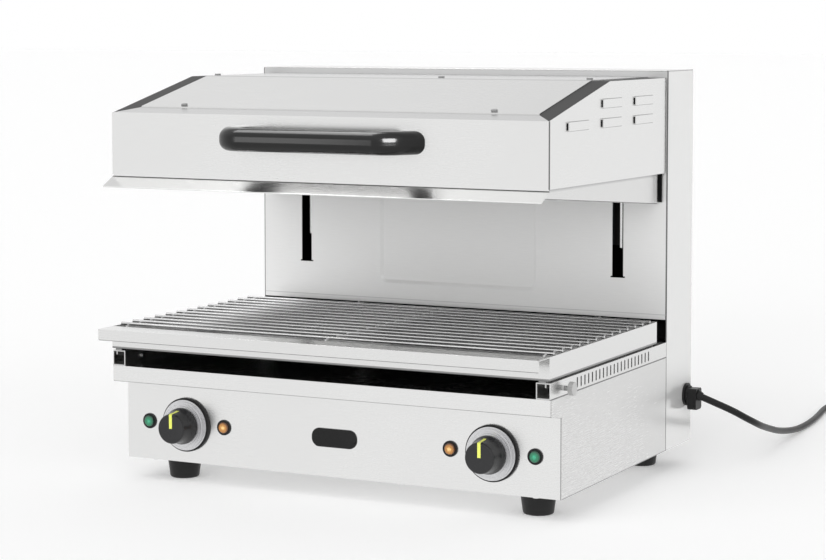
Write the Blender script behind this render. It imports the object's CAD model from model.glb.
import math

import bmesh
import bpy
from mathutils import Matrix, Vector


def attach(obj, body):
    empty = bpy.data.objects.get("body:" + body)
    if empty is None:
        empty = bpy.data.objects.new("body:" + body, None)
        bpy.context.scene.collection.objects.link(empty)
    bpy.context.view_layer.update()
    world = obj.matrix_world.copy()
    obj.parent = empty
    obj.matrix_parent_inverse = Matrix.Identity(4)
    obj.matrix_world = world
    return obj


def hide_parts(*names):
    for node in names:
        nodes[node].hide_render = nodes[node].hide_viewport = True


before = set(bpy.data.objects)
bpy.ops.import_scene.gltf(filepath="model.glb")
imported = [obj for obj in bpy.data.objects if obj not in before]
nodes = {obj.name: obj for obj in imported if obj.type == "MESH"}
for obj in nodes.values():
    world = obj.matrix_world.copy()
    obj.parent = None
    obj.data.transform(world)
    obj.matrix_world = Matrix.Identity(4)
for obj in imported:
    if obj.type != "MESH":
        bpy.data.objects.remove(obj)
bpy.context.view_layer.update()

scene = bpy.context.scene
scene.view_settings.view_transform = "Standard"
print("frame:", len(nodes), "nodes")

# camera: a long lens to the right of the front, a little above the hood
cameraSet = {
    "place": (1.31709, -2.57814, 0.58185),
    "yaw": 26.771,
    "pitch": 3.941,
    "lens": 98.82,
    "shiftY": -0.12107,
}
cameraData = bpy.data.cameras.new("camera")
cameraData.sensor_fit = "HORIZONTAL"
cameraData.sensor_width = 36
cameraData.lens = cameraSet["lens"]
cameraData.shift_y = cameraSet["shiftY"]
cameraData.clip_start = 0.05
camera = bpy.data.objects.new("camera", cameraData)
camera.location = cameraSet["place"]
camera.rotation_euler = (math.radians(90 - cameraSet["pitch"]), 0, math.radians(cameraSet["yaw"]))
scene.collection.objects.link(camera)
scene.camera = camera


class Shade:
    # a socket of a node tree: sums on it add Math nodes, make() adds any other node
    def __init__(self, tree, out=None):
        self.tree = tree
        self.out = out

    def make(self, kind, settings=None, inputs=None, out=0):
        made = self.tree.nodes.new(kind)
        for key, value in (settings or {}).items():
            setattr(made, key, value)
        for key, value in (inputs or {}).items():
            if isinstance(value, Shade):
                self.tree.links.new(value.out, made.inputs[key])
            else:
                made.inputs[key].default_value = value
        return None if out is None else Shade(self.tree, made.outputs[out])

    def math(self, operation, first, second=0.0):
        return self.make("ShaderNodeMath", {"operation": operation}, {0: first, 1: second})

    def __add__(self, other):
        return self.math("ADD", self, other)

    def __radd__(self, other):
        return self.math("ADD", other, self)

    def __sub__(self, other):
        return self.math("SUBTRACT", self, other)

    def __rsub__(self, other):
        return self.math("SUBTRACT", other, self)

    def __mul__(self, other):
        return self.math("MULTIPLY", self, other)

    def __rmul__(self, other):
        return self.math("MULTIPLY", other, self)

    def __pow__(self, other):
        return self.math("POWER", self, other)

    def __abs__(self):
        return self.math("ABSOLUTE", self)

    def __lt__(self, other):
        return self.math("LESS_THAN", self, other)

    def __gt__(self, other):
        return self.math("GREATER_THAN", self, other)

    def least(self, other):
        return self.math("MINIMUM", self, other)

    def most(self, other):
        return self.math("MAXIMUM", self, other)

    def soft(self, low, high):
        # 0 below low, 1 above high, smooth between
        return self.make(
            "ShaderNodeMapRange",
            {"interpolation_type": "SMOOTHSTEP"},
            {"Value": self, "From Min": low, "From Max": high},
        )

    def tint(self, low, high):
        # a colour from low to high, by this value
        ends = [end if isinstance(end, Shade) else (*end, 1) for end in (low, high)]
        return self.make("ShaderNodeMix", {"data_type": "RGBA"}, {0: self, 6: ends[0], 7: ends[1]}, 2)

    def noise(self, place, scale, detail=2.0, stretch=(1, 1, 1)):
        spread = self.make("ShaderNodeMapping", {}, {"Vector": place, "Scale": stretch})
        return self.make("ShaderNodeTexNoise", {}, {"Vector": spread, "Scale": scale, "Detail": detail})

    def bump(self, height, strength, distance):
        return self.make("ShaderNodeBump", {}, {"Height": height, "Strength": strength, "Distance": distance})

    def xyz(self):
        split = self.tree.nodes.new("ShaderNodeSeparateXYZ")
        self.tree.links.new(self.out, split.inputs[0])
        return [Shade(self.tree, socket) for socket in split.outputs]


def newMaterial(name, fixed):
    material = bpy.data.materials.new(name)
    material.use_nodes = True
    shader = material.node_tree.nodes["Principled BSDF"]
    for key, value in fixed.items():
        shader.inputs[key].default_value = value
    paint = Shade(material.node_tree)
    place = paint.make("ShaderNodeTexCoord", out="Object")

    def feed(colour, rough, normal):
        for socket, value in (("Base Color", colour), ("Roughness", rough), ("Normal", normal)):
            material.node_tree.links.new(value.out, shader.inputs[socket])

    return material, paint, place, feed


steelSet = {
    "colour": (0.815, 0.815, 0.81),
    "dull": (0.765, 0.765, 0.76),
    "rough": 0.26,
    "grainAcross": 1500,
    "grainAlong": 45,
    "grainBump": 0.03,
    "grainRough": 0.08,
    "smearSize": 5.0,
    "smearRough": 0.06,
}


def brushedSteel(name, grain, dark=None, seams=(), tone=1.0, metal=1.0, rough=steelSet["rough"]):
    # grain: the axis that the brushing runs along
    # dark: shade, added roughness and mask of a darker part
    # seams: half width, shade and distance of each dark line
    material, paint, place, feed = newMaterial(name, {"Metallic": metal})
    stretch = [steelSet["grainAcross"]] * 3
    stretch["xyz".index(grain)] = steelSet["grainAlong"]
    lines = paint.noise(place, 1.0, 3.0, tuple(stretch))
    smears = paint.noise(place, steelSet["smearSize"], 3.0)
    shine = (lines * 0.6 + smears * 0.4).soft(0.2, 0.8)
    dull = [tone * part for part in steelSet["dull"]]
    colour = shine.tint(dull, [tone * part for part in steelSet["colour"]])
    axes = place.xyz()
    if dark:
        shade, duller, mask = dark
        colour = mask(axes).tint(colour, (shade, shade, shade))
    for half, shade, away in seams:
        colour = away(axes).soft(half * 0.4, half * 1.6).tint((shade, shade, shade), colour)
    uneven = rough + (lines - 0.5) * steelSet["grainRough"] + (smears - 0.5) * steelSet["smearRough"]
    if dark:
        uneven = uneven + mask(axes) * duller
    feed(colour=colour, rough=uneven, normal=paint.bump(lines, steelSet["grainBump"], 0.0002))
    return material


def level(axis, where, both=False):
    # distance to a plane across an axis, or to both planes beside the middle
    index = "xyz".index(axis)
    if both:
        return lambda axes: abs(abs(axes[index]) - where)
    return lambda axes: abs(axes[index] - where)


def plainFinish(name, colours, rough, metal=0.0, scale=900.0, bump=0.08, roughSpan=0.12, fixed=None):
    # a finish with a fine grain and slow cloudy changes
    material, paint, place, feed = newMaterial(name, {"Metallic": metal, **(fixed or {})})
    grain = paint.noise(place, scale, 3.0)
    clouds = paint.noise(place, 9.0, 3.0)
    mix = (grain * 0.4 + clouds * 0.6).soft(0.3, 0.7)
    feed(
        colour=mix.tint(*colours),
        rough=rough + (clouds - 0.5) * roughSpan + (grain - 0.5) * roughSpan,
        normal=paint.bump(grain, bump, 0.0002),
    )
    return material


dialSet = {
    "x": 0.212,
    "z": 0.078,
    "rings": 9000.0,
    "low": (0.48, 0.48, 0.49),
    "high": (0.80, 0.80, 0.81),
    "rough": 0.28,
}


def dialFinish():
    # turned rings about each knob's axis
    material, paint, place, feed = newMaterial("turned_dial", {"Metallic": 1.0})
    x, y, z = place.xyz()
    across = abs(x) - dialSet["x"]
    up = z - dialSet["z"]
    radius = (across * across + up * up) ** 0.5
    rings = paint.math("SINE", radius * dialSet["rings"])
    grain = paint.noise(place, 600.0, 2.0)
    mix = (rings * 0.2 + 0.5 + (grain - 0.5) * 0.4).soft(0.2, 0.8)
    feed(
        colour=mix.tint(dialSet["low"], dialSet["high"]),
        rough=dialSet["rough"] + rings * 0.05,
        normal=paint.bump(rings, 0.12, 0.0001),
    )
    return material


lensSet = {
    "z": 0.0782,
    "facets": 420.0,
    "facetShift": 0.0022,
    "core": (0.0042, 0.0006),  # radius where the bright core ends, and where it is full
    "rim": (0.0045, 0.0070),
}


def lensFinish(name, across, rim, body, core):
    # coloured lens: dark rim, a bright core that shows through the dome, and moulded facets
    material, paint, place, feed = newMaterial(name, {"Coat Weight": 0.6, "Coat Roughness": 0.05, "IOR": 1.5})
    x, y, z = place.xyz()
    aside = abs(x) - across
    up = z - lensSet["z"]
    radius = (aside * aside + up * up) ** 0.5
    cells = paint.make("ShaderNodeTexVoronoi", {}, {"Vector": place, "Scale": lensSet["facets"]})
    glow = (radius + (cells - 0.4) * lensSet["facetShift"]).soft(*lensSet["core"])
    edge = radius.soft(*lensSet["rim"])
    feed(
        colour=edge.tint(glow.tint(body, core), rim),
        rough=0.12 + cells * 0.15,
        normal=paint.bump(cells, 0.2, 0.0005),
    )
    return material


louvreSet = {
    "tops": [0.4685, 0.492],
    "starts": [[-0.162, -0.0568, 0.050], [-0.056, 0.050]],
    "tall": 0.011,
    "seen": 0.064,
    "line": 0.0004,
}


def louvreLines(axes):
    # distance to the upper and lower edge of the nearest louvre
    near = None
    for top, starts in zip(louvreSet["tops"], louvreSet["starts"]):
        for start in starts:
            past = abs(axes[1] - start - louvreSet["seen"] / 2) - louvreSet["seen"] / 2
            for edge in (top, top - louvreSet["tall"]):
                away = abs(axes[2] - edge) + past.most(0.0)
                near = away if near is None else near.least(away)
    return near


# places of edges that aren't square to an axis or that end part way, in metres
edgeLines = {
    "boxLower": {"y": -0.2116, "z": 0.3821, "fall": 0.0848},
    "boxUpper": {"y": -0.2128, "z": 0.3935, "fall": 0.008},
    "sideFront": {"panelY": -0.1793, "bandY": -0.2113, "panelTop": 0.1266},
    "lip": {"y": -0.2440, "z": 0.1880},
    "slotBack": {"x": 0.232, "half": 0.03, "y": 0.1651},
}


def slanting(name):
    # distance to a line on the heating box's ends that falls to the rear
    line = edgeLines[name]
    return lambda axes: abs(axes[2] - line["z"] + (axes[1] - line["y"]) * line["fall"])


def sideFront(axes):
    # distance to the stepped front edge of the base's sides
    line = edgeLines["sideFront"]
    lower = abs(axes[1] - line["panelY"]) + (axes[2] - line["panelTop"]).most(0.0)
    return lower.least(abs(axes[1] - line["bandY"]))


def lipLower(axes):
    # distance to the lower edge of the tray's lip
    line = edgeLines["lip"]
    return abs(axes[2] - line["z"]) + (axes[1] - line["y"]).most(0.0)


def slotBacks(axes):
    # the column front's inner face beside its slots
    back = edgeLines["slotBack"]
    return (axes[1] > back["y"]) * (abs(abs(axes[0]) - back["x"]) < back["half"])


steelX = brushedSteel("steel_along_x", "x")
railSteel = brushedSteel("steel_rail", "y", tone=0.8, rough=0.4)
steelZ = brushedSteel("steel_along_z", "z")
panelSteel = brushedSteel("steel_panel", "x", seams=[
    (0.0006, 0.30, level("x", 0.2992)), (0.0004, 0.35, level("z", 0.1264)),
])
deckSteel = brushedSteel("steel_deck", "x", seams=[(0.0005, 0.40, level("z", 0.1322))])
sideSteel = brushedSteel("steel_side", "y", seams=[
    (0.0006, 0.25, level("y", 0.1634)),
    (0.0005, 0.15, level("z", 0.1517)),
    (0.0006, 0.30, level("z", 0.0304)),
    (0.0006, 0.20, sideFront),
], metal=0.2, tone=0.88)
stripSteel = brushedSteel("steel_strip", "y", seams=[(0.0005, 0.15, level("z", 0.1523))], tone=0.95)
columnSideSteel = brushedSteel(
    "steel_column_side", "z", dark=(0.02, 0.3, lambda axes: abs(axes[0]) < 0.2990),
    seams=[(0.0008, 0.10, level("y", 0.1645)), (0.0006, 0.15, level("z", 0.5216))], metal=0.4, rough=0.2,
)
columnSteel = brushedSteel(
    "steel_column", "x", dark=(0.02, 0.3, slotBacks),
    seams=[
        (0.0007, 0.10, level("x", 0.2990)),
        (0.0005, 0.58, level("z", 0.2068)),
        (0.02, 0.50, level("z", 0.518)),
    ],
    metal=0.45, rough=0.32,
)
capSteel = brushedSteel("steel_cap", "x", seams=[(0.0007, 0.15, level("x", 0.2992))])
coverSteel = brushedSteel("steel_cover", "x", dark=(0.03, 0.3, lambda axes: axes[1] < 0.2532))
hoodTopSteel = brushedSteel("steel_hood_top", "x", dark=(0.55, 0.0, lambda axes: axes[2] > 0.5128), tone=0.88)
hoodFaceSteel = brushedSteel(
    "steel_hood_face", "x", dark=(0.60, 0.0, lambda axes: axes[2] > 0.4714),
    seams=[(0.0007, 0.15, level("x", 0.2976))],
)
hoodSideSteel = brushedSteel(
    "steel_hood_side", "y", dark=(0.06, 0.35, lambda axes: abs(axes[0]) < 0.2966),
    seams=[(0.0006, 0.20, level("y", -0.2126)), (louvreSet["line"], 0.40, louvreLines)],
)
traySteel = brushedSteel(
    "steel_tray", "x", dark=(0.30, 0.0, lambda axes: axes[2] < 0.1765),
    seams=[(0.0005, 0.30, lipLower), (0.0005, 0.15, level("z", 0.1742))], tone=0.96,
)
boxEndSteel = brushedSteel("steel_box_end", "y", seams=[
    (0.0007, 0.10, slanting("boxLower")), (0.0035, 0.48, slanting("boxUpper")),
], tone=0.92)
deflectorSteel = brushedSteel("steel_deflector", "x", seams=[(0.0006, 0.15, level("y", -0.2143))], rough=0.16)
liftSteel = brushedSteel("steel_lift", "x", tone=0.22, rough=0.45)
threadSteel = brushedSteel("steel_thread", "x", seams=[
    (0.0005, 0.10, level("x", groove, True)) for groove in (0.3022, 0.3042, 0.3062)
], tone=0.72, rough=0.34)


def greyFinish(name, low, high, rough, metal, scale, bump=0.08, roughSpan=0.12, gloss=0.5):
    # a grey or black finish between two levels; gloss is the shader's specular level
    shades = ((low, low, low), (high, high, high))
    return plainFinish(name, shades, rough, metal, scale, bump, roughSpan, {"Specular IOR Level": gloss})


screwSteel = greyFinish("screw_steel", 0.26, 0.40, 0.26, 1.0, 700, 0.03)
wireSteel = greyFinish("wire_steel", 0.56, 0.72, 0.24, 1.0, 700, 0.02)
barSteel = greyFinish("bar_steel", 0.86, 0.94, 0.4, 0.5, 700, 0.02)
brightSteel = greyFinish("bright_steel", 0.70, 0.86, 0.2, 1.0, 700, 0.03)
elementSteel = plainFinish("element_steel", ((0.10, 0.09, 0.085), (0.28, 0.25, 0.23)), 0.5, 1.0, 400)
blackEnamel = greyFinish("black_enamel", 0.004, 0.010, 0.45, 0.0, 500, gloss=0.14)
handleBlack = greyFinish("handle_black", 0.004, 0.007, 0.17, 0.0, 800, 0.01, 0.03, 0.3)
blackGloss = greyFinish("black_gloss", 0.004, 0.008, 0.14, 0.0, 800, 0.01, 0.04, 0.25)
knobBlack = plainFinish(
    "knob_black", ((0.010, 0.010, 0.011), (0.018, 0.018, 0.019)), 0.24, 0.0, 1500, 0.03,
    fixed={"Specular IOR Level": 0.4},
)
rubber = greyFinish("black_rubber", 0.006, 0.014, 0.5, 0.0, 1200, 0.10, gloss=0.25)
leadRubber = greyFinish("lead_rubber", 0.004, 0.009, 0.4, 0.0, 900, 0.06, gloss=0.25)
blackPlastic = greyFinish("moulded_black", 0.005, 0.011, 0.35, 0.0, 1200, 0.08, gloss=0.25)
pointerPaint = plainFinish("pointer_paint", ((0.62, 0.66, 0.10), (0.74, 0.78, 0.16)), 0.45, 0.0, 1500, 0.05)
dialMetal = dialFinish()
greenLens = lensFinish("green_lens", 0.267, (0.004, 0.035, 0.02), (0.006, 0.16, 0.075), (0.03, 0.36, 0.20))
amberLens = lensFinish("amber_lens", 0.157, (0.07, 0.022, 0.006), (0.40, 0.17, 0.03), (0.86, 0.54, 0.20))
switchBody = plainFinish("switch_body", ((0.62, 0.60, 0.54), (0.76, 0.74, 0.68)), 0.5)
bushPlastic = plainFinish("bush_plastic", ((0.74, 0.74, 0.71), (0.86, 0.86, 0.83)), 0.45)
fibreMat = plainFinish("fibre_mat", ((0.62, 0.60, 0.54), (0.86, 0.84, 0.78)), 0.9, 0.0, 350, 0.5)
print("materials:", len(bpy.data.materials))

# finish of every CAD node
dressing = {
    steelX: ["base_bottom", "heating_box", "element_brackets"],
    hoodTopSteel: ["hood_top"],
    panelSteel: ["control_panel"],
    deckSteel: ["base_deck"],
    sideSteel: ["side_panel_left", "side_panel_right"],
    stripSteel: ["vent_strip_left", "vent_strip_right"],
    railSteel: ["tray_rail_left", "tray_rail_right"],
    boxEndSteel: ["box_ends"],
    columnSideSteel: ["column_side_left", "column_side_right"],
    columnSteel: ["column_front"],
    capSteel: ["column_cap"],
    coverSteel: ["rear_cover"],
    steelZ: ["lift_arm_left", "lift_arm_right"],
    liftSteel: ["carriage", "cross_bracket_lower", "cross_bracket_upper"],
    hoodFaceSteel: ["hood_front"],
    hoodSideSteel: ["hood_side_left", "hood_side_right"],
    deflectorSteel: ["front_deflector"],
    traySteel: ["drip_tray"],
    threadSteel: ["thumb_screw_left", "thumb_screw_right"],
    wireSteel: ["grid_wires"],
    barSteel: ["grid_bars"],
    brightSteel: ["guide_rods", "gas_strut_rod", "knob_shaft_left", "knob_shaft_right", "housing_screws"],
    screwSteel: ["hood_screws"],
    elementSteel: ["heating_element_left", "heating_element_right"],
    blackEnamel: ["hood_back", "gas_strut_tube"],
    handleBlack: ["handle"],
    blackGloss: ["lamp_bezels", "badge_plate"],
    knobBlack: ["knob_left", "knob_right"],
    dialMetal: ["dial_plates"],
    rubber: ["dial_seals", "feet"],
    greenLens: ["green_lenses"],
    amberLens: ["amber_lenses"],
    switchBody: ["regulators"],
    bushPlastic: ["slide_bushes"],
    fibreMat: ["insulation"],
    blackPlastic: ["cable_gland", "plug", "cord_tie"],
    leadRubber: ["power_cord", "cord_coil"],
}
for material, names in dressing.items():
    for name in names:
        for place in nodes[name].material_slots:
            place.material = material
print("dressed:", sum(len(names) for names in dressing.values()), "nodes")

# folded and cut edges catch the light
edgeSet = {
    "width": 0.0004,
    "angle": 40,
    "names": ["base_deck", "column_cap", "front_deflector", "drip_tray", "badge_plate", "box_ends"],
}
for name in edgeSet["names"]:
    weld = nodes[name].modifiers.new("weld", "WELD")
    weld.merge_threshold = 0.00001
    bevel = nodes[name].modifiers.new("edges", "BEVEL")
    bevel.width = edgeSet["width"]
    bevel.segments = 2
    bevel.limit_method = "ANGLE"
    bevel.angle_limit = math.radians(edgeSet["angle"])
    bevel.use_clamp_overlap = False
    bevel.face_strength_mode = "FSTR_ALL"
    flat = nodes[name].modifiers.new("flat", "WEIGHTED_NORMAL")
    flat.use_face_influence = True
print("edges rounded:", len(edgeSet["names"]))


def addPiece(name, bm, material, body, sharp=35):
    # a finished mesh piece that moves with a body
    mesh = bpy.data.meshes.new(name)
    bm.to_mesh(mesh)
    bm.free()
    for kind in material if isinstance(material, list) else [material]:
        mesh.materials.append(kind)
    mesh.shade_smooth()
    mesh.set_sharp_from_angle(angle=math.radians(sharp))
    piece = bpy.data.objects.new(name, mesh)
    scene.collection.objects.link(piece)
    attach(piece, body)
    return piece


def lathe(bm, profile, centre, axis, steps, finish=0):
    # profile: (radius, place along the axis) pairs, turned about the axis through centre
    along = "xyz".index(axis)
    side = (along + 1) % 3
    turned = []
    for radius, place in profile:
        at = list(centre)
        at[along] = place
        at[side] += radius
        turned.append(bm.verts.new(at))
    line = [bm.edges.new(pair) for pair in zip(turned, turned[1:])]
    direction = [0, 0, 0]
    direction[along] = 1
    before = set(bm.faces)
    bmesh.ops.spin(
        bm, geom=turned + line, cent=centre, axis=direction, angle=2 * math.pi, steps=steps, use_merge=True
    )
    bmesh.ops.remove_doubles(bm, verts=bm.verts, dist=0.000001)
    made = [face for face in bm.faces if face not in before]
    for face in made:
        face.material_index = finish
    bmesh.ops.recalc_face_normals(bm, faces=made)


# mains lead: the CAD route, then the turns of its put-away coil
leadSet = {
    "width": 0.009,
    "length": 1.773,
    "route": [
        (0.32235, 0.24035, 0.09058), (0.34049, 0.24420, 0.08309), (0.36066, 0.25122, 0.07397),
        (0.37468, 0.26462, 0.06316), (0.38199, 0.28282, 0.05430), (0.38194, 0.30502, 0.04733),
        (0.37943, 0.33252, 0.04031), (0.37630, 0.36552, 0.03267), (0.37345, 0.40152, 0.02431),
        (0.37055, 0.43952, 0.01732), (0.36851, 0.47952, 0.01132), (0.36598, 0.52002, 0.00659),
        (0.36448, 0.56202, 0.00450), (0.36198, 0.61002, 0.00450), (0.35598, 0.66202, 0.00450),
        (0.34848, 0.71002, 0.00450), (0.34898, 0.75002, 0.00515), (0.35798, 0.78202, 0.00580),
        (0.36398, 0.81022, 0.00580),
    ],
    "centre": (0.42289, 0.80690, 0.0058),
    "turn": (12, 1260),
    "middle": 636,
    "inner": 0.04168,
    "pitch": 0.0096,
    "perTurn": 18,
    "end": [(0.48121, 0.7639, 0.0185), (0.48121, 0.7549, 0.0185)],
}
route = [Vector(point) for point in leadSet["route"]]
first, last = leadSet["turn"]
count = round((last - first) / 360 * leadSet["perTurn"])
for i in range(count + 1):
    angle = first + (last - first) * i / count
    away = abs(angle - leadSet["middle"])
    radius = leadSet["inner"] + leadSet["pitch"] * away / 360
    climb = min(1, max(0, (angle - leadSet["middle"]) / 180 + 0.5))
    rise = leadSet["pitch"] * (1 - math.cos(math.pi * climb)) / 2
    turn = math.radians(angle)
    step = Vector((-radius * math.cos(turn), radius * math.sin(turn), rise))
    route.append(Vector(leadSet["centre"]) + step)
route += [Vector(point) for point in leadSet["end"]]
leadCurve = bpy.data.curves.new("mains_lead", "CURVE")
leadCurve.dimensions = "3D"
leadCurve.bevel_depth = leadSet["width"] / 2
leadCurve.bevel_resolution = 5
leadCurve.resolution_u = 6
leadCurve.use_fill_caps = True
spline = leadCurve.splines.new("NURBS")
spline.points.add(len(route) - 1)
for point, place in zip(spline.points, route):
    point.co = (*place, 1)
spline.order_u = 3
spline.use_endpoint_u = True
spline.resolution_u = 6
lead = bpy.data.objects.new("mains_lead", leadCurve)
leadCurve.materials.append(leadRubber)
scene.collection.objects.link(lead)
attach(lead, "base")
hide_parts("power_cord", "cord_coil")

# plug: ribbed tail, round body with a grip, two pins
plugSet = {
    "x": 0.48121,
    "z": 0.0185,
    "back": 0.7549,
    "tail": [(0.0046, 0.0), (0.0056, 0.0), (0.0056, 0.0035), (0.0049, 0.0045), (0.0060, 0.0055),
             (0.0060, 0.0090), (0.0052, 0.0100), (0.0066, 0.0110), (0.0066, 0.0150), (0.0058, 0.0160),
             (0.0076, 0.0175), (0.0095, 0.0240)],
    "body": [(0.0120, 0.0240), (0.0150, 0.0265), (0.0158, 0.0320), (0.0152, 0.0400), (0.0160, 0.0480),
             (0.0180, 0.0515), (0.0185, 0.0525), (0.0185, 0.0590), (0.0180, 0.0600), (0.0135, 0.0600),
             (0.0130, 0.0590), (0.0, 0.0590)],
    "pinGap": 0.0095,
    "pin": [(0.0024, 0.0590), (0.0024, 0.0770), (0.0020, 0.0785), (0.0, 0.0790)],
}
bm = bmesh.new()
centre = (plugSet["x"], 0, plugSet["z"])
bodyLine = [(0.0, 0.0)] + plugSet["tail"] + plugSet["body"]
lathe(bm, [(r, plugSet["back"] - away) for r, away in bodyLine], centre, "y", 48)
for side in (-1, 1):
    pinCentre = (plugSet["x"] + side * plugSet["pinGap"], 0, plugSet["z"])
    lathe(bm, [(r, plugSet["back"] - away) for r, away in plugSet["pin"]], pinCentre, "y", 24, 1)
plug = addPiece("mains_plug", bm, [blackPlastic, brightSteel], "base")
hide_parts("plug")
print("lead: route points", len(route))

# knobs: flared body with a painted pointer over its face and side
knobSet = {
    "x": dialSet["x"],
    "z": dialSet["z"],
    "profile": [(0.0, -0.1935), (0.0222, -0.1935), (0.0229, -0.1940), (0.0230, -0.1950), (0.0226, -0.1962),
                (0.0214, -0.1985), (0.0204, -0.2010), (0.0198, -0.2040), (0.0193, -0.2080), (0.0188, -0.2140),
                (0.0186, -0.2162), (0.0182, -0.2174), (0.0174, -0.2180), (0.0150, -0.2178), (0.0, -0.2177)],
    "pointerWide": 0.0042,
    "pointerProud": 0.00015,
    "pointerThick": 0.0006,
    "pointer": [(0.0005, -0.2177), (0.0150, -0.2178), (0.0174, -0.2180), (0.0182, -0.2174), (0.0186, -0.2162),
                (0.0188, -0.2140), (0.0193, -0.2080), (0.0198, -0.2040), (0.0204, -0.2010)],
}
for side, hand in ((-1, "left"), (1, "right")):
    bm = bmesh.new()
    centre = (side * knobSet["x"], 0, knobSet["z"])
    lathe(bm, knobSet["profile"], centre, "y", 72)
    proud = knobSet["pointerProud"]
    rails = []
    for shift in (-0.5, 0.5):
        x = centre[0] + shift * knobSet["pointerWide"]
        rail = [bm.verts.new((x, y - proud, knobSet["z"] + r + proud)) for r, y in knobSet["pointer"]]
        rails.append([bm.edges.new(pair) for pair in zip(rail, rail[1:])])
    strip = bmesh.ops.bridge_loops(bm, edges=rails[0] + rails[1])["faces"]
    bmesh.ops.recalc_face_normals(bm, faces=strip)
    raised = bmesh.ops.solidify(bm, geom=strip, thickness=knobSet["pointerThick"])
    for face in set(strip) | {item for item in raised["geom"] if isinstance(item, bmesh.types.BMFace)}:
        face.material_index = 1
    knob = addPiece(f"knob_cap_{hand}", bm, [knobBlack, pointerPaint], f"knob_{hand}")
    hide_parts(f"knob_{hand}")
print("knobs: 2")

# light: a white room, soft lamps from above the front, the right and straight ahead
# softboxes make the glints
lightSet = {
    "world": 0.60,
    "ahead": 1.25,
    "behind": 0.80,
    "key": {"from": (-0.1, -1.0, 0.6), "angle": 75, "power": 1.25},
    "fill": {"from": (0.9, -0.55, 0.2), "angle": 60, "power": 0.95},
    "front": {"from": (0.05, -1, 0.03), "angle": 40, "power": 1.7},
    "boxes": {
        "overhead": {"way": (-0.44, 0.12, 0.88), "away": 2.0, "size": (1.6, 0.36), "glow": 6.5},
        "handle_top": {"way": (-0.44, 0.12, 0.88), "away": 2.0, "size": (1.6, 0.5), "glow": 9.0},
        "handle_spot": {"way": (0.58, -0.73, 0.36), "away": 2.2, "size": (1.6, 1.4), "glow": 32.0},
        "handle_front": {"way": (-0.52, -0.84, 0.1), "away": 2.0, "size": (0.45, 0.8), "glow": 3.6},
    },
    "handleBoxes": ["handle_top", "handle_spot", "handle_front"],  # these light the handle alone
    "aim": (0, -0.2, 0.35),
    "floorFill": 0.18,
    "floorColour": 0.88,
}
world = bpy.data.worlds.new("studio")
scene.world = world
world.use_nodes = True
world.node_tree.nodes.clear()
air = Shade(world.node_tree)
way = air.make("ShaderNodeTexCoord", out="Generated").xyz()
cameraRay = air.make("ShaderNodeLightPath", out="Is Camera Ray")
mirrorRay = air.make("ShaderNodeLightPath", out="Is Glossy Ray")
clearRay = air.make("ShaderNodeLightPath", out="Is Transmission Ray")
high = way[2].soft(0.15, 0.7)
ahead = way[1].soft(0.3, -0.2)
room = 1 + high * (ahead * (lightSet["ahead"] - lightSet["behind"]) + (lightSet["behind"] - 1))
soft = (1 - cameraRay) * (1 - mirrorRay) * (1 - clearRay)
strength = cameraRay + (1 - cameraRay) * (1 - soft) * room + soft * lightSet["world"]
back = air.make("ShaderNodeBackground", {}, {"Color": (1, 1, 1, 1), "Strength": strength})
air.make("ShaderNodeOutputWorld", {}, {"Surface": back}, None)
for name in ("key", "fill", "front"):
    lamp = bpy.data.lights.new(name, "SUN")
    lamp.angle = math.radians(lightSet[name]["angle"])
    lamp.energy = lightSet[name]["power"]
    holder = bpy.data.objects.new(name, lamp)
    holder.rotation_euler = Vector(lightSet[name]["from"]).to_track_quat("Z", "Y").to_euler()
    holder.visible_glossy = False
    scene.collection.objects.link(holder)
for name, box in lightSet["boxes"].items():
    lamp = bpy.data.lights.new(name, "AREA")
    lamp.shape = "RECTANGLE"
    lamp.size, lamp.size_y = box["size"]
    lamp.energy = box["glow"] * math.pi * lamp.size * lamp.size_y
    holder = bpy.data.objects.new(name, lamp)
    holder.location = Vector(lightSet["aim"]) + Vector(box["way"]).normalized() * box["away"]
    holder.rotation_euler = Vector(box["way"]).to_track_quat("Z", "Y").to_euler()
    holder.visible_camera = False
    holder.visible_diffuse = False
    if name in lightSet["handleBoxes"]:
        lit = bpy.data.collections.new(name)
        lit.objects.link(nodes["handle"])
        holder.light_linking.receiver_collection = lit
    scene.collection.objects.link(holder)

# floor: white, and only the object's shadow shows on it
bm = bmesh.new()
bmesh.ops.create_grid(bm, x_segments=1, y_segments=1, size=40)
floorMesh = bpy.data.meshes.new("floor")
bm.to_mesh(floorMesh)
bm.free()
floor = bpy.data.objects.new("floor", floorMesh)
scene.collection.objects.link(floor)
floorPaint = bpy.data.materials.new("floor_white")
floorPaint.use_nodes = True
floorTree = floorPaint.node_tree
floorTree.nodes.clear()
ground = Shade(floorTree)
cameraRay = ground.make("ShaderNodeLightPath", out="Is Camera Ray")
mirrorRay = ground.make("ShaderNodeLightPath", out="Is Glossy Ray")
clearRay = ground.make("ShaderNodeLightPath", out="Is Transmission Ray")
tone = lightSet["floorColour"]
diffuse = ground.make("ShaderNodeBsdfDiffuse", {}, {"Color": (tone, tone, tone, 1)})
glow = ground.make("ShaderNodeEmission", {}, {"Strength": cameraRay * lightSet["floorFill"]})
lit = ground.make("ShaderNodeAddShader", {}, {0: diffuse, 1: glow})
white = ground.make("ShaderNodeEmission", {}, {"Strength": 1.0})
pick = ground.make("ShaderNodeMixShader", {}, {0: mirrorRay + clearRay, 1: lit, 2: white})
ground.make("ShaderNodeOutputMaterial", {}, {"Surface": pick}, None)
floorMesh.materials.append(floorPaint)
print("stage: floor, world and lamps")

print("sizes written")
